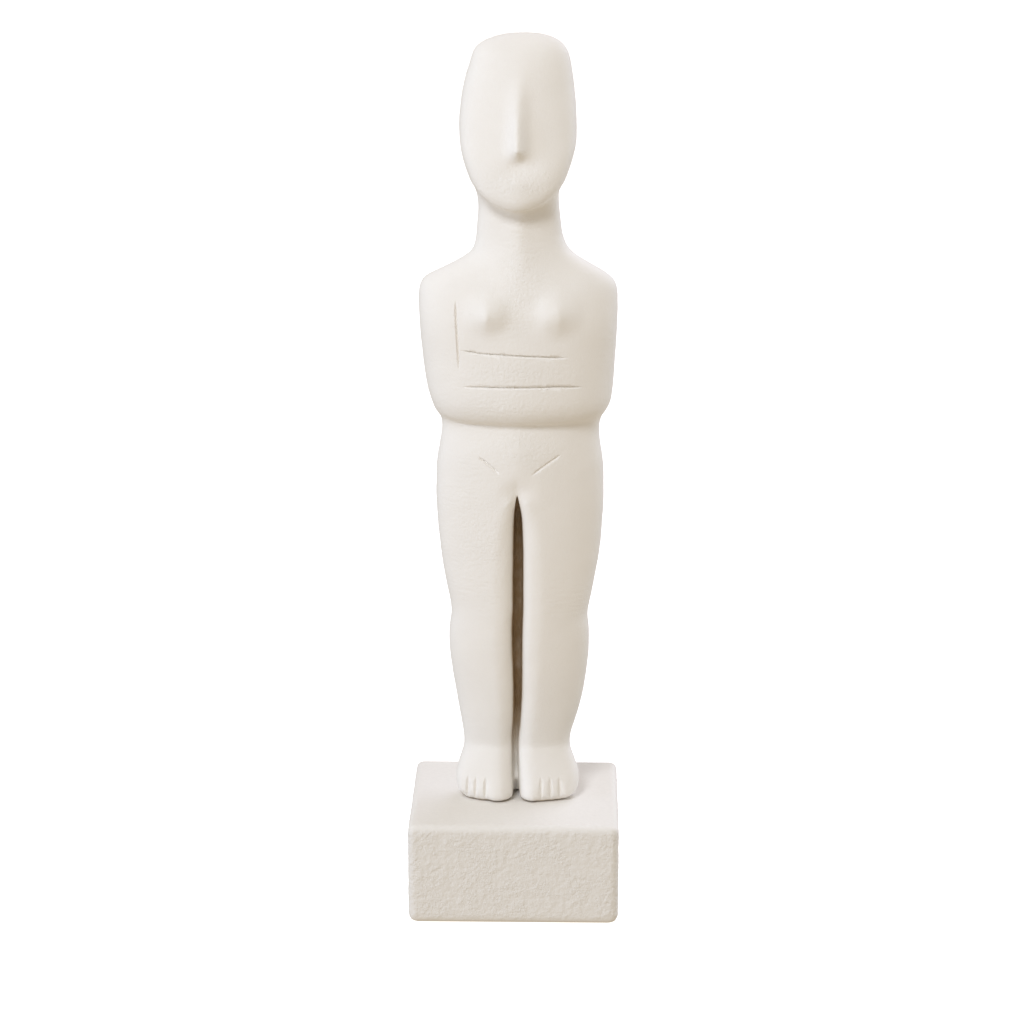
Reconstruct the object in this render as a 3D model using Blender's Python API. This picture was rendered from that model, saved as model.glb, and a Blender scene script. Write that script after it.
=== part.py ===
"""A Cycladic folded-arm figurine standing on its plinth, modelled at its real size.

Metres, +Z up, the figure faces -Y. The origin is the middle of the plinth's underside.
The plinth, the seat and the roundings have sizes of their own. The figure is a free form:
its stations and carving are shares of its own height, written in thousandths of it.
"""

import math

import bmesh
import bpy
import numpy as np
from mathutils import Vector
from mathutils.bvhtree import BVHTree

# Driving dimensions
PLINTH_WIDTH = 0.0600
PLINTH_DEPTH = 0.0548
PLINTH_HEIGHT = 0.0298
PLINTH_TOP_EDGE = 0.0022  # rounding of the top and the upright edges
PLINTH_FOOT_EDGE = 0.0030  # softer rounding where it stands
FIGURE_HEIGHT = 0.2187  # soles to crown
SEAT_GAP = 0.0003  # clearance between the soles and the plinth

# Outline seen from the front: height, half width, sway of the middle to the figure's left hand
OUTLINE = {
    "sole": (0, 68.0, 4.6),
    "sole edge": (4, 74.0, 4.2),
    "toe swell": (12, 80.0, 4.0),
    "instep": (27, 82.4, 3.6),
    "over the foot": (46, 77.8, 3.0),
    "foot to ankle": (57, 73.4, 2.9),
    "ankle": (69, 70.4, 2.6),
    "lower shin": (84, 71.8, 2.9),
    "shin": (111, 78.4, 5.1),
    "calf": (145, 85.0, 6.0),
    "upper calf": (178, 90.0, 5.8),
    "calf swell": (212, 92.6, 5.3),
    "below the knee": (228, 92.4, 5.3),
    "knee": (249, 89.4, 5.9),
    "above the knee": (270, 92.4, 6.7),
    "lower thigh": (298, 98.0, 6.4),
    "thigh": (336, 103.8, 6.8),
    "upper thigh": (373, 107.2, 6.4),
    "hip": (411, 109.0, 6.3),
    "upper hip": (449, 108.4, 6.3),
    "below the waist": (482, 103.6, 6.6),
    "waist": (505, 101.4, 7.4),
    "under the elbow": (514, 103.4, 7.7),
    "elbow curve": (524, 110.4, 7.4),
    "elbow": (534, 115.0, 7.9),
    "above the elbow": (555, 119.4, 6.4),
    "upper arm": (587, 122.8, 5.2),
    "arm": (649, 126.8, 4.2),
    "shoulder": (677, 127.2, 3.8),
    "shoulder curve": (689, 124.4, 4.2),
    "shoulder turn": (696, 119.2, 3.5),
    "shoulder slope": (704, 105.0, 6.6),
    "collar": (716, 82.1, 7.6),
    "neck root": (727, 65.6, 8.0),
    "low neck": (742, 55.8, 5.8),
    "neck": (767, 53.2, 4.9),
    "under the jaw": (793, 51.0, 4.5),
    "jaw": (805, 52.4, 3.2),
    "jaw curve": (818, 58.7, 3.4),
    "lower cheek": (830, 63.2, 3.6),
    "cheek": (843, 67.9, 3.5),
    "broad cheek": (868, 73.8, 3.6),
    "widest head": (892, 74.3, 3.2),
    "temple": (917, 72.4, 3.7),
    "forehead": (942, 68.8, 4.4),
    "upper forehead": (968, 62.7, 6.4),
    "crown corner": (979, 59.4, 6.3),
    "crown turn": (987, 53.2, 6.9),
    "crown slope": (993.5, 42.4, 9.0),
    "crown": (998.4, 24.8, 11.0),
    "crown top": (999.6, 13.5, 12.0),
}

# Outline seen from the side: height, front, back, depth of the widest line, all from the plinth's middle
PROFILE = {
    "sole": (0, -41.0, 35.0, -10.0),
    "sole edge": (3.5, -45.4, 38.4, -11.0),
    "toe tips": (9, -46.6, 40.0, -12.0),
    "toes": (22, -43.4, 39.5, -9.0),
    "instep": (46, -33.4, 39.0, -2.0),
    "top of the foot": (64, -27.2, 39.0, 5.0),
    "ankle crease": (69, -24.6, 39.0, 6.0),
    "over the crease": (73, -24.4, 39.5, 6.5),
    "lower shin": (90, -26.8, 41.4, 8.0),
    "calf": (150, -33.5, 53.0, 9.0),
    "upper calf": (190, -37.0, 54.0, 8.0),
    "knee": (250, -40.5, 46.0, 5.0),
    "lower thigh": (300, -42.5, 50.0, 4.6),
    "thigh": (365, -45.0, 56.0, 4.6),
    "hip": (420, -45.6, 60.5, 4.6),
    "belly": (470, -45.0, 55.0, 4.0),
    "waist": (502, -40.5, 48.0, 3.0),
    "below the forearm": (511.5, -39.5, 47.4, 2.6),
    "forearm edge": (514.5, -47.5, 47.2, 2.4),
    "forearm roll": (524, -54.6, 47.0, 2.3),
    "forearm": (541, -58.8, 47.0, 2.3),
    "between the forearms": (585, -57.4, 48.6, 2.3),
    "chest": (640, -54.0, 50.0, 2.3),
    "upper chest": (678, -48.0, 48.4, 2.3),
    "collar": (715, -37.0, 43.0, 3.6),
    "low neck": (745, -32.0, 39.0, 4.6),
    "throat": (778, -28.5, 38.0, 6.0),
    "under the chin": (784, -28.0, 38.0, 6.4),
    "chin edge": (786.5, -48.6, 38.4, 6.6),
    "chin": (792, -53.2, 39.2, 7.0),
    "over the chin": (800, -55.0, 40.6, 7.6),
    "mouth": (816, -54.4, 44.2, 9.2),
    "nose level": (866, -44.0, 54.0, 14.0),
    "brow": (945, -24.0, 58.0, 20.0),
    "upper forehead": (975, -11.0, 54.5, 24.0),
    "crown turn": (990, 3.0, 47.0, 26.0),
    "crown": (998.4, 18.0, 41.0, 29.5),
    "crown top": (999.6, 24.0, 37.0, 30.5),
}

BACK_SQUARENESS = 2.3
CARVING_FADE = 6.0  # the carving fades to the rims along an oval this square

# How square the front is, seen from above: 2 is an ellipse
SQUARENESS = {
    "feet": (0, 3.6),
    "ankle": (70, 3.0),
    "thigh": (380, 2.9),
    "waist": (505, 2.5),
    "chest": (690, 2.5),
    "neck": (755, 3.4),
    "under the jaw": (785, 3.4),
    "jaw": (822, 4.4),
    "cheek": (880, 4.2),
    "forehead": (950, 3.2),
    "crown": (999, 2.6),
}

# The front is a shallow roof along the middle line: height, rise of its ridge, reach to each side
KEEL = {
    "ankle": (66, 6.0, 60.0),
    "shin": (150, 9.0, 80.0),
    "thigh": (330, 11.0, 95.0),
    "belly": (475, 10.0, 95.0),
    "forearm": (535, 6.0, 110.0),
    "upper forearm": (590, 4.0, 110.0),
    "chest": (640, 0.0, 80.0),
    "collar": (712, 8.0, 56.0),
    "neck": (745, 13.0, 53.0),
    "jaw": (800, 12.0, 66.0),
    "nose level": (860, 12.0, 74.0),
    "brow": (930, 11.0, 74.0),
    "upper forehead": (968, 6.0, 70.0),
    "crown": (996, 0.0, 60.0),
}
KEEL_BLUNTNESS = 0.01
KEEL_POWER = 1.3

# Rings between two levels, coarse along the limbs and close where the carving turns: start, end, count
CROWN_RING = OUTLINE["crown"][0]
TOP_RING = OUTLINE["crown top"][0]
RING_SPANS = (
    (0, 4, 2), (4, 12, 2), (12, 40, 3), (40, 62, 2), (62, 76, 4), (76, 84, 1), (84, 235, 8),
    (235, 270, 4), (270, 400, 7), (400, 433, 6), (433, 470, 4), (470, 513, 4), (513, 521, 2),
    (521, 527, 2), (527, 560, 4), (560, 625, 4), (625, 690, 8), (690, 735, 8), (735, 800, 4),
    (800, 816, 3), (816, 822, 2), (822, 868, 5), (868, 880, 4), (880, 895, 3),
    (895, 965, 4), (965, 990, 5),
    (990, CROWN_RING, 3), (CROWN_RING, TOP_RING, 1),
)

# Levels whose rings dip in front: level, drop in the middle, reach below, reach above, roundness
JAW_DIP = (820, 34.6, 90, 120, 2.2)
FOREARM_DIP = (525, 11.5, 30, 40, 6.0)
FRONT_DIPS = (JAW_DIP, FOREARM_DIP)

# Carving, in thousandths of the figure's height unless said otherwise
SLOT_APEX = 422
SLOT_HALF_WIDTH = 7.0
SLOT_HALF_WIDTH_AT_FEET = 4.4
SLOT_WIDENS_OVER = (40, 260)
SLOT_FLOOR = 12.0
SLOT_FLOOR_AT_FEET = 5.0
SLOT_DEEPENS_OVER = (0, 120)
SLOT_POINT = 27.0  # how slowly the cleft widens below its point
SLOT_LEAST = 3.0  # the width at the point is that of this far below it
SLOT_RUN_OUT = 20
SLOT_INSIDE = 0.9  # columns within this share of its half width drop to its floor
SLOT_BEVEL = 20.0  # width of the rounded inner edge of each leg
SLOT_BEVEL_DROP = 12.0
SLOT_BEVEL_POWER = 2.1
SLOT_BEVEL_GROWN = 60  # the bevel is full this far below the point
SLOT_BEVEL_LEAST = 0.35  # its width at the groin, as a share of the full one
SLOT_SHIFT = -2.2  # the cleft stands this far from the middle of the outline
GROIN_TOP = 450
GROIN_DROP = 5.0
GROIN_HALF_WIDTH = 9.0
NOSE_SHIFT = 0.4  # and the ridge of the chest, neck and nose this far
NOSE_SHIFT_OVER = (600, 740)  # the middle line drifts over between these heights
NOSE_TOP = 948
NOSE_TIP = 862.5
NOSE_FOOT = 846
NOSE_GROWTH_POWER = 0.9  # 1 is a straight ridge
NOSE_UNDERSIDE_POWER = 1.2  # 1 is a flat underside, more is a hollow one under a sharper tip
NOSE_RISE = 15.0
NOSE_HALF_WIDTH = 16.0
HOLLOW_LEVEL = 842  # the shallow hollow under the nose
HOLLOW_DEPTH = 3.5
HOLLOW_HALF_WIDTH = 16.0
HOLLOW_HALF_HEIGHT = 12.0
BREASTS = ((-33.4, 657.0, 30.0), (53.0, 658.0, 33.0))  # place across, height, radius
BREAST_RISE = 16.0
BREAST_BLUNTNESS = 0.03
BREAST_POWER = 1.25
FOOT_ROUNDING = 9.0
FOOT_ROUNDING_POWER = 5.0
FOOT_ROUNDING_FROM = 20
FOOT_TOP = 60
FOOT_MIDDLE = 0.53  # each foot's middle, as a share of the half width
BACK_LEG_GROOVE = 12.0
BACK_LEG_GROOVE_HALF_WIDTH = 9.0
BACK_LEG_GROOVE_TOP = 440
SPINE_GROOVE = 4.0
SPINE_HALF_WIDTH = 10.0
SPINE_BOTTOM = 470
SPINE_TOP = 720
SPINE_FADE = 60

# Incised lines: start and end as (across, height), with their width and depth
INCISED = {
    "upper arm": (((-74.2, 672.0), (-69.6, 585.0)), 4.0, 4.4),
    "upper forearm": (((-73.4, 611.0), (-41.0, 607.6), (61.5, 602.4)), 3.8, 4.4),
    "lower forearm": (((-62.6, 565.0), (85.4, 565.6)), 3.8, 4.6),
    "groin left": (((-46.0, 469.0), (-18.0, 447.4)), 3.4, 3.0),
    "groin right": (((60.0, 474.6), (21.0, 447.0)), 3.4, 3.0),
}
TOES = (-62.6, -50.8, -39.8, 33.0, 44.8, 57.2)
TOE_LINE = (5, 30)
TOE_LINE_WIDTH = 3.4
TOE_LINE_DEPTH = 3.6
STROKE_END = 0.25  # fullness of a stroke at its two ends
STROKE_TAPER = 5.0  # full after one fifth of its length
STROKE_LIFT = 1.2  # the cutter stands out of the surface this many times its depth

# Fineness of the figure's mesh
FRONT_SIDE_COLUMNS = 8
BACK_COLUMNS = 13
MIDDLE_AT_LEGS = (0.78, 1.0, 2.2, 4.2)  # places of the middle columns, in half widths of the slot
MIDDLE_AT_CHEST = (10.0, 23.0, 38.0, 53.0)  # over the breasts
MIDDLE_AT_HEAD = (0.2, 0.55, 1.0, 1.8)  # and in half widths of the nose
CHEST_COLUMNS_FROM = 620
HEAD_COLUMNS_OVER = (690, 810)
RIM_CROWDING = 1.7  # how much closer the columns stand at the rims

FIGURE_COLOUR = (0.87, 0.84, 0.79, 1.0)
PLINTH_COLOUR = (0.84, 0.81, 0.76, 1.0)
STONE_ROUGHNESS = 0.85


def clear_scene():
    for obj in list(bpy.data.objects):
        bpy.data.objects.remove(obj, do_unlink=True)


def cast_stone(name, colour):
    material = bpy.data.materials.new(name)
    material.use_nodes = True
    shader = material.node_tree.nodes["Principled BSDF"]
    shader.inputs["Base Color"].default_value = colour
    shader.inputs["Roughness"].default_value = STONE_ROUGHNESS
    shader.inputs["Metallic"].default_value = 0.0
    material.diffuse_color = colour
    return material


def add_object(name, mesh_data, material):
    """Wraps a bmesh as a named, smooth shaded object of the scene."""
    mesh = bpy.data.meshes.new(name)
    mesh_data.to_mesh(mesh)
    mesh_data.free()
    mesh.shade_smooth()
    mesh.set_sharp_from_angle(angle=math.radians(40))
    obj = bpy.data.objects.new(name, mesh)
    obj.data.materials.append(material)
    bpy.context.scene.collection.objects.link(obj)
    return obj


def flowing(stations, column, heights):
    """One column of a table of stations as a smooth curve that never overshoots a station."""
    rows = np.array(list(stations.values()), float)
    x, y = rows[:, 0], rows[:, column]
    step = np.diff(x)
    slope = np.diff(y) / step
    tangent = np.zeros(len(x))
    tangent[0], tangent[-1] = slope[0], slope[-1]
    before, after = slope[:-1], slope[1:]
    same_way = before * after > 0
    weight = (step[:-1] + 2 * step[1:], 2 * step[:-1] + step[1:])
    total = weight[0] + weight[1]
    safe_before = np.where(same_way, before, 1.0)
    safe_after = np.where(same_way, after, 1.0)
    mean = total / (weight[1] / safe_before + weight[0] / safe_after)
    tangent[1:-1] = np.where(same_way, mean, 0.0)
    heights = np.clip(heights, x[0], x[-1])
    i = np.clip(np.searchsorted(x, heights, side="right") - 1, 0, len(step) - 1)
    t = (heights - x[i]) / step[i]
    return (
        (1 + 2 * t) * (1 - t) ** 2 * y[i]
        + t * (1 - t) ** 2 * step[i] * tangent[i]
        + t**2 * (3 - 2 * t) * y[i + 1]
        - t**2 * (1 - t) * step[i] * tangent[i + 1]
    )


def eased(value, start, end):
    """Runs smoothly from 0 at start to 1 at end."""
    t = np.clip((value - start) / (end - start), 0.0, 1.0)
    return t * t * (3 - 2 * t)


def dip(level, share_across):
    """How far the ring of this level drops in front, so that it follows the jaw and the forearm."""
    drop = 0.0
    for centre, depth, below, above, roundness in FRONT_DIPS:
        rise = eased(level, centre - below, centre) * (1 - eased(level, centre, centre + above))
        drop = drop + depth * rise * (1 - np.abs(share_across) ** roundness)
    return drop


def ring_levels():
    levels = [0.0]
    for start, end, count in RING_SPANS:
        levels.extend(np.linspace(start, end, count + 1)[1:])
    return np.array(levels)


def slot_half_width(level):
    """Half the width of the cleft between the legs."""
    wider = (SLOT_HALF_WIDTH - SLOT_HALF_WIDTH_AT_FEET) * eased(level, *SLOT_WIDENS_OVER)
    wide = SLOT_HALF_WIDTH_AT_FEET + wider
    return wide * (1 - np.exp(-np.clip(SLOT_APEX - level, SLOT_LEAST, None) / SLOT_POINT))


def middle(level):
    """The line that the cleft, the spine of the chest and the nose stand on, across."""
    shift = SLOT_SHIFT + (NOSE_SHIFT - SLOT_SHIFT) * eased(level, *NOSE_SHIFT_OVER)
    return flowing(OUTLINE, 2, level) + shift


def front_columns(level, half_width, centre):
    """Places across of the front's columns, rim to rim, close at the rims and at the middle."""
    legs = slot_half_width(np.minimum(level, SLOT_APEX)) * np.array(MIDDLE_AT_LEGS)
    head = NOSE_HALF_WIDTH * np.array(MIDDLE_AT_HEAD)
    offsets = legs + (np.array(MIDDLE_AT_CHEST) - legs) * eased(level, SLOT_APEX, CHEST_COLUMNS_FROM)
    offsets = offsets + (head - offsets) * eased(level, *HEAD_COLUMNS_OVER)
    offsets = offsets * min(1.0, 0.5 * half_width / offsets[-1])
    line = middle(level)
    share = 1 - (1 - np.linspace(0, 1, FRONT_SIDE_COLUMNS + 1)[1:]) ** RIM_CROWDING
    right_rim, left_rim = centre + half_width, centre - half_width
    right = line + offsets[-1] + (right_rim - line - offsets[-1]) * share
    left = line - offsets[-1] + (left_rim - line + offsets[-1]) * share
    return np.concatenate([left[::-1], line - offsets[::-1], [line], line + offsets, right])


def oval(share_across, squareness):
    return (1 - np.abs(np.clip(share_across, -1, 1)) ** squareness) ** (1 / squareness)


def nose(across, height):
    """A ridge that grows from the brow to the tip, with its underside sloping back to a shallow hollow."""
    off = np.abs(across - middle(height))
    grown = np.clip((NOSE_TOP - height) / (NOSE_TOP - NOSE_TIP), 0, 1) ** NOSE_GROWTH_POWER
    under = np.clip((height - NOSE_FOOT) / (NOSE_TIP - NOSE_FOOT), 0, 1) ** NOSE_UNDERSIDE_POWER
    ridge = NOSE_RISE * grown * under * (1 - eased(off, 0, NOSE_HALF_WIDTH))
    reach = (off / HOLLOW_HALF_WIDTH) ** 2 + ((height - HOLLOW_LEVEL) / HOLLOW_HALF_HEIGHT) ** 2
    return ridge - HOLLOW_DEPTH * np.exp(-reach)


def keel(across, height):
    """How far the front falls back from the ridge of its roof."""
    share = (across - middle(height)) / flowing(KEEL, 2, height)
    slope = np.clip(1 - np.sqrt(share**2 + KEEL_BLUNTNESS), 0, 1) ** KEEL_POWER
    ridge = (1 - math.sqrt(KEEL_BLUNTNESS)) ** KEEL_POWER
    return flowing(KEEL, 1, height) * (ridge - slope)


def breasts(across, height):
    rise = 0.0
    for place, level, radius in BREASTS:
        reach = np.hypot(across - place, height - level) / radius
        rise = rise + BREAST_RISE * np.clip(1 - np.sqrt(reach**2 + BREAST_BLUNTNESS), 0, 1) ** BREAST_POWER
    return rise


def legs_inward(across, level):
    """How far the front falls back at the cleft, its bevels and the groin above it."""
    off = np.abs(across - middle(level))
    grown = eased(level, GROIN_TOP, SLOT_APEX - SLOT_BEVEL_GROWN)
    reach = SLOT_BEVEL * (SLOT_BEVEL_LEAST + (1 - SLOT_BEVEL_LEAST) * grown)
    past = (off - slot_half_width(level)) / reach
    bevel = SLOT_BEVEL_DROP * grown * np.clip(1 - past, 0, 1) ** SLOT_BEVEL_POWER
    groin = GROIN_DROP * (1 - eased(off, 0, GROIN_HALF_WIDTH)) * eased(level, GROIN_TOP, SLOT_APEX)
    return bevel + groin * eased(level, SLOT_APEX - 2 * SLOT_RUN_OUT, SLOT_APEX)


def feet_rounding(across, level, half_width):
    """The fronts of the feet round off to each side, seen from above."""
    foot_middle = FOOT_MIDDLE * half_width
    off = np.abs(np.abs(across - middle(level)) - foot_middle) / foot_middle
    fading = 1 - eased(level, FOOT_ROUNDING_FROM, FOOT_TOP)
    return FOOT_ROUNDING * np.clip(off, 0, 1) ** FOOT_ROUNDING_POWER * fading


def ring(level):
    """Points of one closed ring, in thousandths: front from the left rim to the right, then the back."""
    half_width = flowing(OUTLINE, 1, level)
    centre = flowing(OUTLINE, 2, level)
    across = front_columns(level, half_width, centre)
    share = (across - centre) / half_width
    height = level - dip(level, share)
    mid_height = level - dip(level, 0.0)
    front = flowing(PROFILE, 1, mid_height)
    side = flowing(PROFILE, 3, level)
    squareness = flowing(SQUARENESS, 1, level)
    depth = side - (side - front) * oval(share, squareness)
    face = oval(share, CARVING_FADE)
    carved = legs_inward(across, level) + feet_rounding(across, level, half_width)
    carved = carved + keel(across, height)
    raised = nose(across, height) + breasts(across, height)
    depth = depth + face * (carved - raised)
    depth = slot(across, level, depth)
    back = flowing(PROFILE, 2, level)
    around = np.linspace(math.pi / 2, -math.pi / 2, BACK_COLUMNS + 2)[1:-1]
    back_share = np.sin(around)
    back_depth = side + (back - side) * oval(back_share, BACK_SQUARENESS)
    back_depth = back_depth - back_carving(back_share * half_width, level)
    x = np.concatenate([across, centre + back_share * half_width])
    y = np.concatenate([depth, back_depth])
    z = np.concatenate([height, np.full(BACK_COLUMNS, level)])
    return np.stack([x, y, z], axis=1)


def slot(across, level, depth):
    """Drops the columns inside the cleft to its floor."""
    floor = SLOT_FLOOR_AT_FEET + (SLOT_FLOOR - SLOT_FLOOR_AT_FEET) * eased(level, *SLOT_DEEPENS_OVER)
    run_out = eased(SLOT_APEX - level, 0, SLOT_RUN_OUT)
    inside = np.abs(across - middle(level)) < SLOT_INSIDE * slot_half_width(level)
    return np.where(inside, depth + (floor - depth) * run_out, depth)


def back_carving(off, level):
    """The groove between the legs behind, and the shallow line of the spine."""
    legs = BACK_LEG_GROOVE * np.exp(-((off / BACK_LEG_GROOVE_HALF_WIDTH) ** 2))
    legs = legs * eased(level, BACK_LEG_GROOVE_TOP, BACK_LEG_GROOVE_TOP - SPINE_FADE)
    grown = eased(level, SPINE_BOTTOM, SPINE_BOTTOM + SPINE_FADE)
    faded = eased(level, SPINE_TOP, SPINE_TOP - SPINE_FADE)
    return legs + SPINE_GROOVE * np.exp(-((off / SPINE_HALF_WIDTH) ** 2)) * grown * faded


def to_metres(points):
    """From thousandths of the figure's height to metres, standing on the plinth."""
    placed = np.asarray(points) * (FIGURE_HEIGHT / 1000)
    placed[..., 2] += PLINTH_HEIGHT + SEAT_GAP
    return placed


def figure_body():
    """The figure as rings joined by quads, closed by its soles and its crown."""
    mesh_data = bmesh.new()
    rows = []
    for level in ring_levels():
        rows.append([mesh_data.verts.new(point) for point in to_metres(ring(level))])
    for lower, upper in zip(rows, rows[1:]):
        for i in range(len(lower)):
            j = (i + 1) % len(lower)
            mesh_data.faces.new((lower[i], lower[j], upper[j], upper[i]))
    mesh_data.faces.new(list(reversed(rows[0])))
    top = np.mean([vertex.co for vertex in rows[-1]], axis=0)
    top[2] = PLINTH_HEIGHT + SEAT_GAP + FIGURE_HEIGHT
    peak = mesh_data.verts.new(top)
    for i in range(len(rows[-1])):
        mesh_data.faces.new((rows[-1][i], rows[-1][(i + 1) % len(rows[-1])], peak))
    bmesh.ops.triangulate(mesh_data, faces=mesh_data.faces)
    bmesh.ops.recalc_face_normals(mesh_data, faces=mesh_data.faces)
    return mesh_data


def incised_paths():
    """Every incised line as its points, width and depth."""
    for points, width, depth in INCISED.values():
        yield points, width, depth
    for place in TOES:
        yield ((place, TOE_LINE[0]), (place, TOE_LINE[1])), TOE_LINE_WIDTH, TOE_LINE_DEPTH


def spaced(points, spacing=9.0):
    """Points along a polyline, evenly spaced, with how far along each lies from 0 to 1."""
    points = np.array(points, float)
    lengths = np.hypot(*np.diff(points, axis=0).T)
    along = np.concatenate([[0], np.cumsum(lengths)])
    places = np.linspace(0, along[-1], max(5, round(along[-1] / spacing) + 1))
    across = np.interp(places, along, points[:, 0])
    height = np.interp(places, along, points[:, 1])
    return np.stack([across, height], axis=1), places / along[-1]


def gouge(cutter, surface, points, width, depth):
    """A V-shaped stroke that follows the surface and runs out at both ends."""
    scale = FIGURE_HEIGHT / 1000
    places, along = spaced(points)
    run = places[-1] - places[0]
    side = Vector((-run[1], 0, run[0])).normalized() * (width * scale)
    sections = []
    for (across, height), share in zip(places, along):
        start = Vector(to_metres((across, -200.0, height)))
        hit = surface.ray_cast(start, Vector((0, 1, 0)))[0]
        fullness = STROKE_END + (1 - STROKE_END) * min(1.0, STROKE_TAPER * min(share, 1 - share))
        sink = depth * scale * (1.3 * fullness - 0.3)
        lift = Vector((0, -STROKE_LIFT * depth * scale, 0))
        corners = (hit + lift + side * fullness, hit + Vector((0, sink, 0)), hit + lift - side * fullness)
        sections.append([cutter.verts.new(corner) for corner in corners])
    for near, far in zip(sections, sections[1:]):
        for i in range(3):
            j = (i + 1) % 3
            cutter.faces.new((near[i], near[j], far[j], far[i]))
    cutter.faces.new(sections[0])
    cutter.faces.new(list(reversed(sections[-1])))


def build_figurine():
    body = figure_body()
    surface = BVHTree.FromBMesh(body)
    strokes = bmesh.new()
    for points, width, depth in incised_paths():
        gouge(strokes, surface, points, width, depth)
    bmesh.ops.triangulate(strokes, faces=strokes.faces)
    bmesh.ops.recalc_face_normals(strokes, faces=strokes.faces)
    stone = cast_stone("figurine_cast_stone", FIGURE_COLOUR)
    figurine = add_object("figurine", body, stone)
    cutter = add_object("incised_strokes", strokes, stone)
    cutter.hide_render = True
    cutter.display_type = "WIRE"
    cut = figurine.modifiers.new("incised lines", "BOOLEAN")
    cut.operation = "DIFFERENCE"
    cut.solver = "EXACT"
    cut.use_self = True
    cut.object = cutter
    return figurine


def build_plinth():
    """A block whose bottom edges are rounded a little more than its top and upright ones."""
    block = bmesh.new()
    bmesh.ops.create_cube(block, size=1.0)
    size = Vector((PLINTH_WIDTH, PLINTH_DEPTH, PLINTH_HEIGHT))
    bmesh.ops.scale(block, vec=size, verts=block.verts)
    bmesh.ops.translate(block, vec=Vector((0, 0, PLINTH_HEIGHT / 2)), verts=block.verts)
    weight = block.edges.layers.float.new("bevel_weight_edge")
    for edge in block.edges:
        at_foot = all(vertex.co.z < PLINTH_HEIGHT / 2 for vertex in edge.verts)
        edge[weight] = 1.0 if at_foot else PLINTH_TOP_EDGE / PLINTH_FOOT_EDGE
    plinth = add_object("plinth", block, cast_stone("plinth_cast_stone", PLINTH_COLOUR))
    rounding = plinth.modifiers.new("rounded edges", "BEVEL")
    rounding.width = PLINTH_FOOT_EDGE
    rounding.segments = 5
    rounding.limit_method = "WEIGHT"
    rounding.use_clamp_overlap = False
    return plinth


def main():
    clear_scene()
    build_plinth()
    build_figurine()


main()
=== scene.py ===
"""Looks of the cast Cycladic figurine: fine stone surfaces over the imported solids, and the stage.

Metres, +Z up, the figure faces -Y. Each piece starts as a copy of its solid, so it stays where that is.
"""

import math

import bpy
import numpy as np
from bpy.props import FloatProperty, FloatVectorProperty, IntProperty, PointerProperty
from mathutils import Matrix, Vector


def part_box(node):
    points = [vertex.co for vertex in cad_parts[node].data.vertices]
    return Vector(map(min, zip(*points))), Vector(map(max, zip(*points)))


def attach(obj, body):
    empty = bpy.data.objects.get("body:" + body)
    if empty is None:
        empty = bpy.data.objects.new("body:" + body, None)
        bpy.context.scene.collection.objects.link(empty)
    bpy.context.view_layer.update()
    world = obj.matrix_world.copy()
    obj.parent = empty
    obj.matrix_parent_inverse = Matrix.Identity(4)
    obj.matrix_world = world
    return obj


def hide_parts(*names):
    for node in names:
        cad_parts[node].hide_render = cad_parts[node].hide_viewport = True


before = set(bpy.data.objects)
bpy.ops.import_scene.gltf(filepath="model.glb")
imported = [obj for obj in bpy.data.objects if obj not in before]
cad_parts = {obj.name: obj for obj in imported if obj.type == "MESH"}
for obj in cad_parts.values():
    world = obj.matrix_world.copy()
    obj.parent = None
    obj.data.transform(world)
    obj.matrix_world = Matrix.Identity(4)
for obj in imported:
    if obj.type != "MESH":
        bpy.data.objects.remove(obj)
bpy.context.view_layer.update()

bl_info = {
    "name": "Cast Cycladic figurine",
    "version": (1, 0, 0),
    "blender": (4, 5, 0),
    "location": "View3D > Sidebar > Figurine",
    "description": "Dresses the figurine and its plinth in cast stone and lights them",
    "category": "Object",
}

MM = 0.001
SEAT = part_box("figurine")[0].z

# Lines on the front: their points as (across, up from the soles) in millimetres
ARM_LINES = (
    ((-16.2, 147.4), (-15.9, 140.1), (-15.2, 127.6)),
    ((-15.2, 133.5), (-9.6, 132.8), (4.3, 132.1), (14.8, 131.6)),
    ((-14.4, 123.2), (-9.6, 123.3), (11.9, 123.5), (19.2, 123.1)),
)
GROIN_LINES = (
    ((-10.3, 102.7), (-7.4, 100.6), (-3.9, 97.8)),
    ((13.1, 103.4), (9.0, 100.7), (4.7, 97.6)),
)
TOES_AT = (-13.5, -11.2, -8.4, 7.7, 10.4, 13.1)
TOES_LEAN = 0.985  # the upper ends' places as a share of these, a little nearer the middle
TOE_LINES = tuple(((x, 0.6), (x * TOES_LEAN, 7.4)) for x in TOES_AT)

# A fine crease under the left half of the forearm's edge
CREASES = (((-19.6, 112.9), (-16.9, 111.8), (-13.0, 111.4), (-5.0, 111.6)),)

# How each kind of line is cut: width and depth as shares of the settings, and the taper in millimetres
CUTS = (
    (ARM_LINES, 1.0, 1.0, 3.5),
    (GROIN_LINES[:1], 1.1, 0.85, 2.0),  # deeper, because the key light runs along it
    (GROIN_LINES[1:], 1.1, 0.55, 2.0),
    (TOE_LINES, 1.6, 0.8, 2.5),
    (CREASES, 1.2, 0.35, 6.0),
)
LINE_END = 0.2  # a line's very end keeps a little depth, as if it ran on by this many millimetres
LINE_WALLS = 0.9  # 1 would give a V with straight walls

# Room around the lines, as shares of their width
FILL_REACH = 2.2
FILL_ROUNDS = 120  # of smoothing, which fill the solid's coarse strokes
FINE_REACH = 1.2
FINE_CUTS = 3  # across each face, so that the grooves have points to stand on

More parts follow.
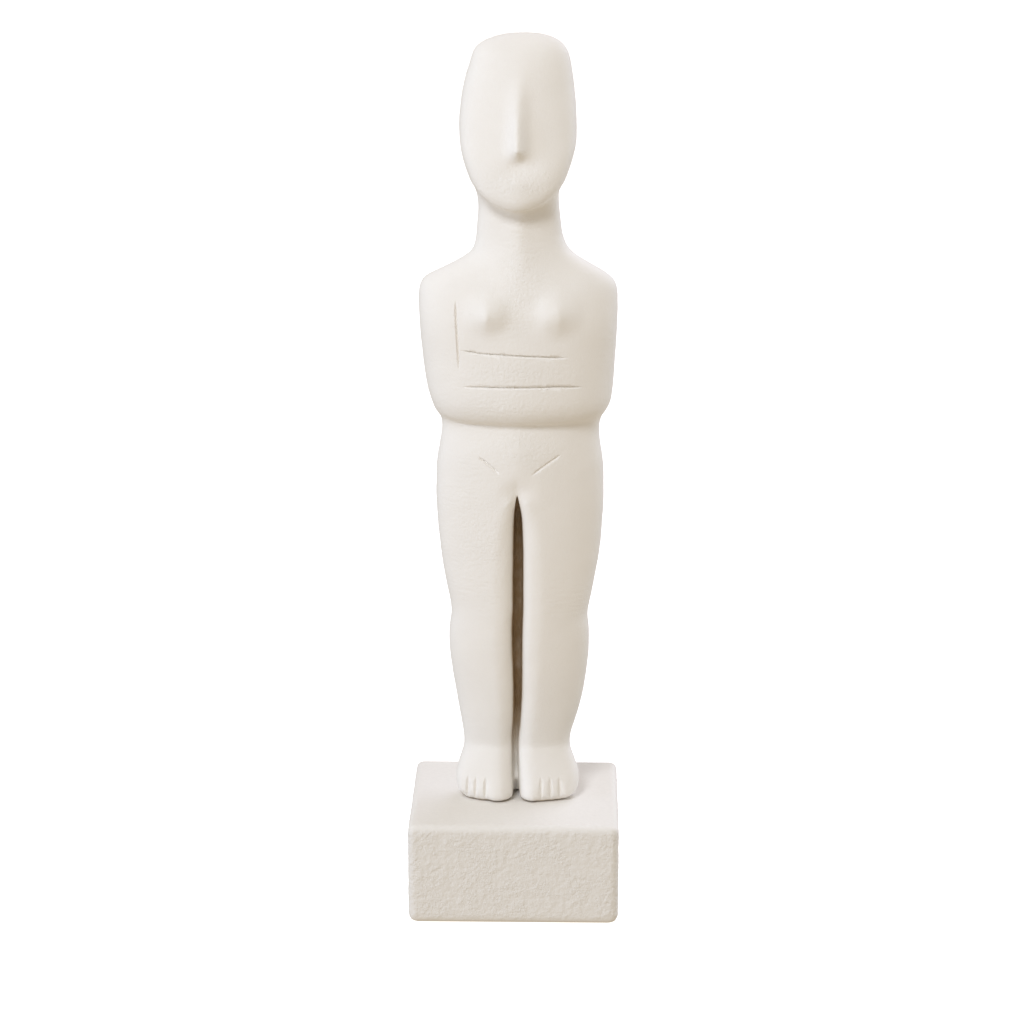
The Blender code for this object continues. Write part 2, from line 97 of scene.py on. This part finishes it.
# Edges that stay crisp while the rest is smoothed
JAW = ((-9.4, 177.2), (-7.1, 173.5), (-2.7, 171.5), (1.3, 170.9), (5.3, 171.9), (9.7, 175.5), (12.0, 178.0))
FOREARM_EDGE = ((-19.8, 112.3), (-16.9, 111.1), (-13.0, 110.8), (-3.4, 111.4), (15.7, 112.5), (23.7, 114.6))
NOSE = ((0.9, 196.0), (0.9, 186.4))
ANKLES = ((-14.6, 15.0), (16.0, 15.2))
CRISP_LINES = (JAW, FOREARM_EDGE, NOSE, ANKLES)
CRISP_WITHIN = 0.5  # millimetres from these lines, where nothing is smoothed further
SOFT_BEYOND = 3.0  # and from here on everything is
FIRST_ROUNDS = 4  # of smoothing, everywhere
WEIGHT_STEPS = 20

SLOW_WAVE = 7.0  # millimetres from swell to swell
FACING_FRONT = -0.2  # normals that point further forwards than this face the front

# The soft hollow under the nose: across, height, half width, half height, depth
NOSE_HOLLOW = (1.3, 183.6, 4.2, 2.4, 0.4)

# The cleft between the legs, in millimetres
CLEFT_TOP = 91.6  # height of its point
CLEFT_AT_POINT = 0.75  # its line across at the point
CLEFT_AT_THIGH = 1.0  # and at the thigh
CLEFT_SHIFT = 12.0  # which is this far below the point
CLEFT_HALF_WIDTH = 1.55
CLEFT_POINT = 7.0  # how slowly it widens below its point
CLEFT_CUT = 9.0  # this far down the point is cut afresh, and below that the solid's cleft takes over
CLEFT_FADE = 0.6  # the cut fades out from this share of the way down
CLEFT_CUT_DEPTH = 8.0
CLEFT_SINKS = (-0.6, 2.5)  # its floor sinks between these places below the point
CLEFT_WALL = 0.25  # how wide its walls run
CLEFT_FINE_REACH = 2.2
CLEFT_FINE_CUTS = 2
CLEFT_BESIDE = (1.5, 3.0)  # the surface is read this far beside the point
CLEFT_READ = 2.0  # and this far above and below it
LEG_FRONTS = -5.0  # the legs' fronts all lie before this

# Painted shade: brown darkening painted deep in the cleft and in the seam under the soles, where shade falls,
# in millimetres
PAINTED_SHADE_FROM = 1.6  # it starts this deep behind the legs' fronts
PAINTED_SHADE_FULL = 4.0
PAINTED_SHADE_BACK = 6.0  # and ends here, towards the back
PAINTED_SHADE_SIDE = 3.0  # it lies this close to the cleft's line
FRONTS_SIDE = 8.0  # and the legs' fronts are read from there to here
FRONTS_SLICE = 2.0  # in slices of this height
PAINTED_SHADE_FADE = (8.0, 28.0)  # it fades towards the feet between these heights
SEAM_TOP = 0.5  # above the soles
SEAM_FADE = 0.4

# Patches whose surface is pitted: across, height, half width, half height, strength
PITTED = (
    (0.0, 179.5, 9.0, 4.5, 0.8),
    (1.5, 152.0, 5.0, 15.0, 0.6),
    (0.0, 127.5, 16.0, 5.0, 0.7),
    (-4.0, 118.0, 18.0, 4.5, 0.6),
    (2.0, 105.5, 12.0, 6.0, 0.5),
    (-11.0, 80.0, 9.0, 18.0, 0.5),
)

# Heights in the figure's bump, as shares of twice its grain setting
GRAIN_SHARE = 0.9
STROKES_SHARE = 1.1
PITS_SHARE = 1.1

# The plinth's surface
PLINTH_ROUNDS = 2  # of smoothing
CHIPS_WAVE = 1.2  # millimetres from chip to chip
SIDES_SLOPE = (0.1, 0.6)  # upward parts of the normal where the rough sides end and the smooth top starts
PLINTH_BUMP = 0.2  # millimetres

# Lights as they were matched to the photograph's shading: turn from the front towards the figure's
# left hand and height above the middle in degrees, size in metres, then colour times power in watts
LIGHTS = {
    "left_fill": (-70, 8, 0.8, (4.9, 6.0, 8.1)),
    "key": (-20, 45, 0.4, (9.2, 9.7, 10.7)),  # smaller, for the jaw's shadow on the neck
    "back": (150, 45, 0.8, (4.5, 4.8, 6.4)),
    "right_rim": (115, 8, 0.8, (7.6, 8.6, 10.5)),
    "low_fill": (0, -60, 0.8, (2.4, 2.0, 1.6)),
}
LIGHT_DISTANCE = 1.5
LIGHTS_AIM = Vector((0, 0, 0.13))

FLOOR_SIZE = 12.0
FLOOR_DROP = 0.05 * MM  # keeps it clear of the plinth's underside

# Camera, fitted to the plinth's edges in the photograph
CAMERA_AT = Vector((0.01588, -0.81674, 0.34562))
CAMERA_DOWN = math.radians(15.795)
CAMERA_TURN = math.radians(1.174)
CAMERA_LENS = 105.47  # millimetres
CAMERA_SENSOR = 36


class FigureSettings(bpy.types.PropertyGroup):
    cell: FloatProperty(
        name="Cell", description="Width of the figure's faces", default=0.64 * MM, unit="LENGTH"
    )
    softening: IntProperty(
        name="Softening", description="Rounds of smoothing that wear the solid's facets off", default=14
    )
    line_width: FloatProperty(
        name="Line width", description="Width of the incised lines", default=0.8 * MM, unit="LENGTH"
    )
    line_depth: FloatProperty(
        name="Line depth", description="Depth of the incised lines", default=0.8 * MM, unit="LENGTH"
    )
    unevenness: FloatProperty(
        name="Unevenness", description="Height of the surface's slow waves", default=0.12 * MM, unit="LENGTH"
    )
    grain: FloatProperty(
        name="Grain", description="Height of the surface's fine grain", default=0.05 * MM, unit="LENGTH"
    )
    colour: FloatVectorProperty(
        name="Colour", description="Colour of the clean stone", default=(0.87, 0.84, 0.79), size=3,
        subtype="COLOR",
    )
    # painted shade: colour of the brown darkening painted deep in the cleft and in the seam under the soles
    painted_shade: FloatVectorProperty(
        name="Painted shade", description="Colour of the dirt in the cleft", default=(0.50, 0.38, 0.24), size=3,
        subtype="COLOR",
    )


class PlinthSettings(bpy.types.PropertyGroup):
    cell: FloatProperty(
        name="Cell", description="Width of the plinth's faces", default=0.39 * MM, unit="LENGTH"
    )
    grain: FloatProperty(
        name="Grain", description="Height of the rough grain on the sides", default=0.3 * MM, unit="LENGTH"
    )
    colour: FloatVectorProperty(
        name="Colour", description="Colour of the plinth's stone", default=(0.84, 0.81, 0.76), size=3,
        subtype="COLOR",
    )


class StageSettings(bpy.types.PropertyGroup):
    brightness: FloatProperty(name="Brightness", description="Multiplies every light", default=1.0)
    sky: FloatVectorProperty(
        name="Sky", description="Colour of the light from all around", default=(0.485, 0.431, 0.351), size=3,
        subtype="COLOR",
    )
    floor: FloatVectorProperty(
        name="Floor", description="Colour of the floor", default=(0.95, 0.95, 0.95), size=3, subtype="COLOR"
    )
    floor_glow: FloatProperty(
        name="Floor glow", description="Keeps the pale floor as white as the photograph's", default=0.85
    )


def select_only(piece):
    bpy.ops.object.select_all(action="DESELECT")
    piece.select_set(True)
    bpy.context.view_layer.objects.active = piece


def copy_of_node(node, name):
    """A piece that starts as a CAD node's surface, with its loose triangles merged."""
    piece = bpy.data.objects.new(name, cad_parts[node].data.copy())
    bpy.context.scene.collection.objects.link(piece)
    select_only(piece)
    bpy.ops.object.mode_set(mode="EDIT")
    bpy.ops.mesh.select_all(action="SELECT")
    bpy.ops.mesh.remove_doubles(threshold=0.001 * MM)
    bpy.ops.mesh.customdata_custom_splitnormals_clear()
    bpy.ops.object.mode_set(mode="OBJECT")
    return piece


def apply_modifier(piece, kind, **settings):
    select_only(piece)
    modifier = piece.modifiers.new(kind.lower(), kind)
    for name, value in settings.items():
        setattr(modifier, name, value)
    bpy.ops.object.modifier_apply(modifier=modifier.name)


def cover_evenly(piece, cell):
    """Gives the piece a new surface of even faces, this wide."""
    apply_modifier(piece, "REMESH", mode="VOXEL", voxel_size=cell, use_smooth_shade=True)


def smooth(piece, rounds, group=""):
    apply_modifier(piece, "SMOOTH", factor=0.5, iterations=rounds, vertex_group=group)


def points_of(piece):
    points = np.empty(3 * len(piece.data.vertices), np.float32)
    piece.data.vertices.foreach_get("co", points)
    return points.reshape(-1, 3).astype(float)


def normals_of(piece):
    normals = np.empty(3 * len(piece.data.vertices), np.float32)
    piece.data.vertex_normals.foreach_get("vector", normals)
    return normals.reshape(-1, 3).astype(float)


def move_points(piece, points):
    piece.data.vertices.foreach_set("co", points.astype(np.float32).ravel())
    piece.data.update()


def weigh(piece, name, weights):
    """A vertex group with these weights, in even steps."""
    group = piece.vertex_groups.new(name=name)
    steps = np.round(np.clip(weights, 0, 1) * WEIGHT_STEPS).astype(int)
    for step in range(1, WEIGHT_STEPS + 1):
        members = np.flatnonzero(steps == step)
        if len(members):
            group.add(members.tolist(), step / WEIGHT_STEPS, "REPLACE")
    return group.name


def eased(value, start, end):
    """Runs smoothly from 0 at start to 1 at end."""
    t = np.clip((value - start) / (end - start), 0.0, 1.0)
    return t * t * (3 - 2 * t)


def along_line(points, line):
    """How far each point is from a line, seen from the front, and how far along it, in metres."""
    nearest = np.full(len(points), np.inf)
    travelled = np.zeros(len(points))
    done = 0.0
    corners = [np.array((x * MM, SEAT + z * MM)) for x, z in line]
    flat = points[:, [0, 2]]
    for start, end in zip(corners, corners[1:]):
        run = end - start
        length = np.hypot(*run)
        share = np.clip((flat - start) @ run / length**2, 0, 1)
        distance = np.hypot(*(flat - start - share[:, None] * run).T)
        closer = distance < nearest
        nearest = np.where(closer, distance, nearest)
        travelled = np.where(closer, done + share * length, travelled)
        done += length
    return nearest, travelled, done


def near_lines(piece, lines, reach):
    """Which points lie within reach of any of these lines, on the side that faces the front."""
    points = points_of(piece)
    facing = normals_of(piece)[:, 1] < FACING_FRONT
    near = np.zeros(len(points), bool)
    for line in lines:
        near |= along_line(points, line)[0] < reach
    return near & facing


def refine_near(piece, lines, reach, cuts):
    """Divides the faces along the lines, so that a narrow groove has points to stand on."""
    near = near_lines(piece, lines, reach)
    select_only(piece)
    bpy.ops.object.mode_set(mode="EDIT")
    bpy.ops.mesh.select_mode(type="FACE")
    bpy.ops.mesh.select_all(action="DESELECT")
    bpy.ops.object.mode_set(mode="OBJECT")
    for face in piece.data.polygons:
        face.select = all(near[list(face.vertices)])
    bpy.ops.object.mode_set(mode="EDIT")
    bpy.ops.mesh.subdivide(number_cuts=cuts)
    bpy.ops.object.mode_set(mode="OBJECT")


def press_line(points, facing, line, width, depth, taper):
    """Sinks the points along one line into a V, half as wide and running out at both ends."""
    distance, travelled, length = along_line(points, line)
    ends = np.minimum(travelled, length - travelled)
    full = eased(ends, -LINE_END * MM, taper)
    half_width = width * (0.25 + 0.25 * full)
    groove = np.clip(1 - distance / half_width, 0, 1) ** LINE_WALLS
    points[:, 1] += np.where(facing, depth * full * groove, 0)


def soft_patch(points, across, height, half_width, half_height):
    """1 in the middle of an oval on the front, running out smoothly around it; sizes in millimetres."""
    reach = ((points[:, 0] - across * MM) / (half_width * MM)) ** 2
    reach = reach + ((points[:, 2] - SEAT - height * MM) / (half_height * MM)) ** 2
    return np.exp(-reach)


def smooth_facets(piece, settings):
    """Smooths the solid's facets away, less along the edges that stay crisp."""
    points = points_of(piece)
    distance = np.min([along_line(points, line)[0] for line in CRISP_LINES], axis=0)
    soft = np.where(points[:, 1] < 0, eased(distance, CRISP_WITHIN * MM, SOFT_BEYOND * MM), 1.0)
    smooth(piece, FIRST_ROUNDS)
    smooth(piece, settings.softening, weigh(piece, "facets", soft))


def fill_strokes(piece, lines, reach):
    """Smooths the solid's coarse strokes away, because they are cut finer afterwards."""
    near = near_lines(piece, lines, reach)
    smooth(piece, FILL_ROUNDS, weigh(piece, "coarse strokes", near * 1.0))


def carve_lines(piece, settings):
    """Cuts the incised lines, the toes and the crease, sharp and tapered, and the hollow under the nose."""
    lines = ARM_LINES + GROIN_LINES + TOE_LINES
    fill_strokes(piece, lines, FILL_REACH * settings.line_width)
    refine_near(piece, lines + CREASES, FINE_REACH * settings.line_width, FINE_CUTS)
    points = points_of(piece)
    facing = normals_of(piece)[:, 1] < 0
    for kind, width, depth, taper in CUTS:
        width, depth = width * settings.line_width, depth * settings.line_depth
        for line in kind:
            press_line(points, facing, line, width, depth, taper * MM)
    *patch, depth = NOSE_HOLLOW
    points[:, 1] += np.where(facing, depth * MM * soft_patch(points, *patch), 0)
    move_points(piece, points)


def cleft_half_width(below):
    """Half the width of the cleft this far below its point."""
    return CLEFT_HALF_WIDTH * MM * (1 - np.exp(-np.clip(below, 0, None) / (CLEFT_POINT * MM)))


def cleft_place(points):
    """How far each point lies to the side of the cleft's line, and how far below its point."""
    below = SEAT + CLEFT_TOP * MM - points[:, 2]
    line = CLEFT_AT_POINT + (CLEFT_AT_THIGH - CLEFT_AT_POINT) * eased(below, 0, CLEFT_SHIFT * MM)
    return np.abs(points[:, 0] - line * MM), below


def between(values, ends):
    """Which values lie between these two ends, given in millimetres."""
    start, end = ends
    return (values > start * MM) & (values < end * MM)


def open_cleft_point(piece):
    """Cuts the cleft's narrow point, which the surface's cells are too wide for."""
    cut = ((CLEFT_AT_POINT, CLEFT_TOP + 1.0), (CLEFT_AT_THIGH, CLEFT_TOP - CLEFT_CUT))
    refine_near(piece, (cut,), CLEFT_FINE_REACH * MM, CLEFT_FINE_CUTS)
    points = points_of(piece)
    off, below = cleft_place(points)
    beside = between(off, CLEFT_BESIDE) & (np.abs(below) < CLEFT_READ * MM)
    surface = points[beside & (points[:, 1] < LEG_FRONTS * MM), 1].mean()
    inside = np.clip((cleft_half_width(below) - off) / (CLEFT_WALL * MM) + 0.5, 0, 1)
    inside = inside * (below > 0) * eased(below, CLEFT_CUT * MM, CLEFT_FADE * CLEFT_CUT * MM)
    inside = inside * (points[:, 1] < 0)
    sinks_from, sinks_to = CLEFT_SINKS
    floor = surface + CLEFT_CUT_DEPTH * MM * eased(below, sinks_from * MM, sinks_to * MM)
    points[:, 1] = np.maximum(points[:, 1], points[:, 1] + (floor - points[:, 1]) * inside)
    move_points(piece, points)


def keep_float(piece, name, values):
    """Stores one number for each point, which the stone reads."""
    layer = piece.data.attributes.new(name, "FLOAT", "POINT")
    layer.data.foreach_set("value", values.astype(np.float32))


def mark_painted_shade(piece):
    """Painted shade: brown darkening painted deep in the cleft, less by the feet, and in the seam under them.
    """
    points = points_of(piece)
    off, below = cleft_place(points)
    height = points[:, 2] - SEAT
    beside = between(off, (PAINTED_SHADE_SIDE, FRONTS_SIDE))
    slices = np.arange(0, CLEFT_TOP, FRONTS_SLICE) * MM
    fronts = [points[beside & (np.abs(height - level) < FRONTS_SLICE * MM), 1].min() for level in slices]
    deep = points[:, 1] - np.interp(height, slices, fronts)
    # painted shade deep in the cleft, behind the legs' fronts
    cleft = eased(deep, PAINTED_SHADE_FROM * MM, PAINTED_SHADE_FULL * MM) * (below > 0) * (points[:, 1] < PAINTED_SHADE_BACK * MM)
    fade_from, fade_to = PAINTED_SHADE_FADE
    cleft = cleft * (off < PAINTED_SHADE_SIDE * MM) * eased(height, fade_from * MM, fade_to * MM)
    # painted shade in the seam under the soles
    seam = eased(SEAT + SEAM_TOP * MM - points[:, 2], 0, SEAM_FADE * MM)
    keep_float(piece, "painted_shade", np.maximum(cleft, seam))


def mark_pits(piece):
    """The front is pitted in soft patches."""
    points = points_of(piece)
    pits = np.zeros(len(points))
    for *patch, strength in PITTED:
        pits = np.maximum(pits, strength * soft_patch(points, *patch))
    keep_float(piece, "pits", pits * (points[:, 1] < 0))


def roll_surface(piece, name, wave, height, middle=0.5, group=""):
    """Rolls the surface in and out by cloudy noise; with middle at 1 it only moves inwards."""
    texture = bpy.data.textures.new(name, "CLOUDS")
    texture.noise_scale = wave
    texture.noise_depth = 2
    apply_modifier(
        piece, "DISPLACE", texture=texture, texture_coords="LOCAL", strength=height, mid_level=middle,
        vertex_group=group,
    )
    bpy.data.textures.remove(texture)


class Amount:
    """A shader value that takes Python's + and * and adds their Math nodes."""

    def __init__(self, recipe, socket):
        self.recipe = recipe
        self.socket = socket

    def math(self, operation, first, second):
        node = self.recipe.node("ShaderNodeMath", {"operation": operation}, {0: first, 1: second})
        return Amount(self.recipe, node.outputs[0])

    def __add__(self, other):
        return self.math("ADD", self, other)

    def __radd__(self, other):
        return self.math("ADD", other, self)

    def __mul__(self, other):
        return self.math("MULTIPLY", self, other)

    def __rmul__(self, other):
        return self.math("MULTIPLY", other, self)


class Recipe:
    """One material's node tree, built by short calls."""

    def __init__(self, name):
        self.material = bpy.data.materials.new(name)
        self.material.use_nodes = True
        self.tree = self.material.node_tree
        self.shader = self.tree.nodes["Principled BSDF"]

    def node(self, kind, settings, inputs):
        """Adds a node; a number or a colour is set on its socket, and a value or a socket is linked to it."""
        made = self.tree.nodes.new(kind)
        for name, value in settings.items():
            setattr(made, name, value)
        for name, value in inputs.items():
            self.feed(made.inputs[name], value)
        return made

    def feed(self, socket, value):
        if isinstance(value, Amount):
            value = value.socket
        if isinstance(value, bpy.types.NodeSocket):
            self.tree.links.new(value, socket)
        else:
            socket.default_value = value

    def place(self, scale):
        """Object coordinates, stretched."""
        coordinates = self.node("ShaderNodeTexCoord", {}, {}).outputs["Object"]
        return self.node("ShaderNodeMapping", {}, {"Vector": coordinates, "Scale": scale}).outputs[0]

    def noise(self, wave, detail=2.0, roughness=0.5, stretch=(1, 1, 1)):
        """Cloudy noise whose lumps are about this far apart, in metres."""
        inputs = {"Vector": self.place(stretch), "Scale": 1 / wave, "Detail": detail, "Roughness": roughness}
        return Amount(self, self.node("ShaderNodeTexNoise", {}, inputs).outputs["Fac"])

    def stored(self, name):
        """A number that the mesh keeps for each point."""
        return Amount(self, self.node("ShaderNodeAttribute", {"attribute_name": name}, {}).outputs["Fac"])

    def ramp(self, value, start, end, low=0.0, high=1.0):
        """Runs smoothly from low to high while the value runs from start to end."""
        inputs = {"Value": value, "From Min": start, "From Max": end, "To Min": low, "To Max": high}
        node = self.node("ShaderNodeMapRange", {"interpolation_type": "SMOOTHSTEP"}, inputs)
        return Amount(self, node.outputs[0])

    def mix(self, share, first, second):
        """A colour between two others."""
        node = self.node("ShaderNodeMix", {"data_type": "RGBA"}, {0: share, 6: first, 7: second})
        return node.outputs[2]

    def bump(self, height, distance):
        inputs = {"Height": height, "Distance": distance, "Strength": 1.0}
        return self.node("ShaderNodeBump", {}, inputs).outputs[0]

    def finish(self, colour, roughness, normal):
        self.feed(self.shader.inputs["Base Color"], colour)
        self.feed(self.shader.inputs["Roughness"], roughness)
        self.feed(self.shader.inputs["Normal"], normal)
        return self.material


def darker(colour, share):
    """This share of a colour, opaque."""
    return tuple(channel * share for channel in colour) + (1.0,)


def figure_stone(settings):
    """Smooth cast stone: cream and finely grained, brushed and pitted in places, with painted brown shade in
    the cleft and in the seam under the soles.
    """
    recipe = Recipe("figure_cast_stone")
    cloud = recipe.ramp(recipe.noise(11 * MM, 3.0), 0.35, 0.7)
    unshaded = recipe.mix(cloud * 0.6, darker(settings.colour, 1.0), darker(settings.colour, 0.975))
    # painted shade: the stored mark paints the cleft and the seam under the soles brown, a little mottled
    painted_shade = recipe.stored("painted_shade") * recipe.ramp(recipe.noise(3 * MM), 0.2, 0.6, 0.75, 1.0)
    colour = recipe.mix(painted_shade, unshaded, tuple(settings.painted_shade) + (1.0,))
    grain = recipe.noise(0.9 * MM, 3.0, 0.6) * 0.8 + recipe.noise(0.4 * MM, 2.0, 0.6) * 0.4
    brushed = recipe.ramp(recipe.noise(16 * MM), 0.45, 0.65)
    strokes = recipe.noise(0.9 * MM, 2.0, 0.5, (0.2, 0.2, 1.0)) * brushed
    pits = recipe.ramp(recipe.noise(0.9 * MM, 3.0, 0.6), 0.25, 0.7) * recipe.stored("pits")
    height = grain * GRAIN_SHARE + strokes * STROKES_SHARE + pits * PITS_SHARE
    roughness = recipe.ramp(recipe.noise(2 * MM), 0.3, 0.7, 0.66, 0.8)
    return recipe.finish(colour, roughness, recipe.bump(height, settings.grain * 2))


def plinth_stone(settings):
    """Rougher cast stone with a pebbly grain; its rough sides are painted a little darker than the top, as
    painted shade of the grain.
    """
    recipe = Recipe("plinth_cast_stone")
    grain = recipe.noise(1.2 * MM, 3.0, 0.6)
    speckle = recipe.ramp(grain, 0.35, 0.65)
    colour = recipe.mix(speckle, darker(settings.colour, 0.98), darker(settings.colour, 1.0))
    # painted shade: the rough sides are painted a little darker than the top
    colour = recipe.mix(recipe.stored("rough") * 0.6, colour, darker(settings.colour, 0.95))
    rough = recipe.stored("rough") * recipe.ramp(recipe.noise(6 * MM), 0.4, 0.6, 0.5, 1.0)
    lumps = recipe.ramp(recipe.noise(1.6 * MM, 2.0, 0.6), 0.3, 0.7)
    height = (recipe.noise(0.8 * MM, 3.0, 0.65) * 0.8 + lumps * 0.4) * (rough + 0.15)
    return recipe.finish(colour, 0.8, recipe.bump(height, PLINTH_BUMP * MM))


def rough_sides(piece, settings):
    """The sides are rough; the top is smooth and the underside flat."""
    slope = np.abs(normals_of(piece)[:, 2])
    sides = 1 - eased(slope, *SIDES_SLOPE)
    # this mark also paints the sides a little darker, as painted shade
    keep_float(piece, "rough", sides)
    group = weigh(piece, "sides", sides)
    roll_surface(piece, "chips", CHIPS_WAVE * MM, settings.grain, 1.0, group)


def hand_over(piece, node, material):
    """Gives the piece its stone and puts it in its node's place."""
    piece.data.materials.clear()
    piece.data.materials.append(material)
    piece.data.shade_smooth()
    piece.vertex_groups.clear()
    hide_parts(node)
    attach(piece, "root")


class FIGURINE_OT_figure(bpy.types.Operator):
    """Make the figure's fine surface with its incised lines"""

    bl_idname = "figurine.figure"
    bl_label = "Figure"

    def execute(self, context):
        settings = context.scene.figure_settings
        figure = copy_of_node("figurine", "cast_figure")
        cover_evenly(figure, settings.cell)
        smooth_facets(figure, settings)
        roll_surface(figure, "slow waves", SLOW_WAVE * MM, settings.unevenness)
        carve_lines(figure, settings)
        open_cleft_point(figure)
        mark_painted_shade(figure)
        mark_pits(figure)
        hand_over(figure, "figurine", figure_stone(settings))
        return {"FINISHED"}


class FIGURINE_OT_plinth(bpy.types.Operator):
    """Make the plinth's rough grained block"""

    bl_idname = "figurine.plinth"
    bl_label = "Plinth"

    def execute(self, context):
        settings = context.scene.plinth_settings
        block = copy_of_node("plinth", "cast_block")
        cover_evenly(block, settings.cell)
        smooth(block, PLINTH_ROUNDS)
        rough_sides(block, settings)
        hand_over(block, "plinth", plinth_stone(settings))
        return {"FINISHED"}


def add_light(name, turn, height, size, colour, brightness):
    """A large soft light at the same distance as all the others, aimed at the figure's middle."""
    turn, height = math.radians(turn), math.radians(height)
    away = Vector((math.sin(turn) * math.cos(height), -math.cos(turn) * math.cos(height), math.sin(height)))
    power = max(colour)
    light = bpy.data.lights.new(name, "AREA")
    light.size = size
    light.energy = power * brightness
    light.color = [channel / power for channel in colour]
    lamp = bpy.data.objects.new(name, light)
    lamp.location = LIGHTS_AIM + away * LIGHT_DISTANCE
    lamp.rotation_euler = (-away).to_track_quat("-Z", "Y").to_euler()
    bpy.context.scene.collection.objects.link(lamp)


def add_floor(settings):
    """A pale floor that catches the shadow but throws no light back, as a bright studio sweep."""
    bpy.ops.object.select_all(action="DESELECT")
    bpy.ops.mesh.primitive_plane_add(size=FLOOR_SIZE, location=(0, 0, -FLOOR_DROP))
    floor = bpy.context.active_object
    floor.name = "pale_floor"
    floor.visible_diffuse = False
    floor.visible_glossy = False
    floor.visible_shadow = False
    recipe = Recipe("pale_floor")
    recipe.feed(recipe.shader.inputs["Base Color"], tuple(settings.floor) + (1.0,))
    recipe.feed(recipe.shader.inputs["Roughness"], 0.9)
    recipe.feed(recipe.shader.inputs["Emission Color"], (1.0, 1.0, 1.0, 1.0))
    recipe.feed(recipe.shader.inputs["Emission Strength"], settings.floor_glow)
    floor.data.materials.append(recipe.material)


def add_sky(settings):
    """Warm light from all around, behind a white background."""
    world = bpy.data.worlds.new("soft_sky")
    world.use_nodes = True
    nodes, links = world.node_tree.nodes, world.node_tree.links
    sky = nodes["Background"]
    sky.inputs["Color"].default_value = tuple(settings.sky) + (1.0,)
    white = nodes.new("ShaderNodeBackground")
    white.inputs["Color"].default_value = (1.0, 1.0, 1.0, 1.0)
    seen = nodes.new("ShaderNodeLightPath")
    choice = nodes.new("ShaderNodeMixShader")
    links.new(seen.outputs["Is Camera Ray"], choice.inputs[0])
    links.new(sky.outputs[0], choice.inputs[1])
    links.new(white.outputs[0], choice.inputs[2])
    links.new(choice.outputs[0], nodes["World Output"].inputs["Surface"])
    bpy.context.scene.world = world


def add_camera():
    forward = Vector((
        -math.sin(CAMERA_TURN) * math.cos(CAMERA_DOWN),
        math.cos(CAMERA_TURN) * math.cos(CAMERA_DOWN),
        -math.sin(CAMERA_DOWN),
    ))
    right = forward.cross(Vector((0, 0, 1))).normalized()
    up = right.cross(forward)
    lens = bpy.data.cameras.new("camera")
    lens.lens = CAMERA_LENS
    lens.sensor_width = CAMERA_SENSOR
    camera = bpy.data.objects.new("camera", lens)
    placed = Matrix((right, up, -forward)).transposed().to_4x4()
    placed.translation = CAMERA_AT
    camera.matrix_world = placed
    bpy.context.scene.collection.objects.link(camera)
    bpy.context.scene.camera = camera


class FIGURINE_OT_stage(bpy.types.Operator):
    """Set the pale floor, the lights and the camera"""

    bl_idname = "figurine.stage"
    bl_label = "Stage"

    def execute(self, context):
        settings = context.scene.stage_settings
        add_floor(settings)
        add_sky(settings)
        for name, light in LIGHTS.items():
            add_light(name, *light, settings.brightness)
        context.scene.view_settings.view_transform = "Standard"
        add_camera()
        return {"FINISHED"}


class FIGURINE_PT_looks(bpy.types.Panel):
    """Lists the pieces and their sizes and colours"""

    bl_label = "Figurine"
    bl_space_type = "VIEW_3D"
    bl_region_type = "UI"
    bl_category = "Figurine"

    def draw(self, context):
        layout = self.layout
        for operator, settings in (
            ("figurine.figure", context.scene.figure_settings),
            ("figurine.plinth", context.scene.plinth_settings),
            ("figurine.stage", context.scene.stage_settings),
        ):
            layout.operator(operator)
            for name in settings.__annotations__:
                layout.prop(settings, name)


CLASSES = (
    FigureSettings,
    PlinthSettings,
    StageSettings,
    FIGURINE_OT_figure,
    FIGURINE_OT_plinth,
    FIGURINE_OT_stage,
    FIGURINE_PT_looks,
)


def register():
    for kind in CLASSES:
        bpy.utils.register_class(kind)
    bpy.types.Scene.figure_settings = PointerProperty(type=FigureSettings)
    bpy.types.Scene.plinth_settings = PointerProperty(type=PlinthSettings)
    bpy.types.Scene.stage_settings = PointerProperty(type=StageSettings)


def unregister():
    del bpy.types.Scene.stage_settings
    del bpy.types.Scene.plinth_settings
    del bpy.types.Scene.figure_settings
    for kind in reversed(CLASSES):
        bpy.utils.unregister_class(kind)


def main():
    register()
    bpy.ops.figurine.figure()
    bpy.ops.figurine.plinth()
    bpy.ops.figurine.stage()


if __name__ == "__main__":
    main()
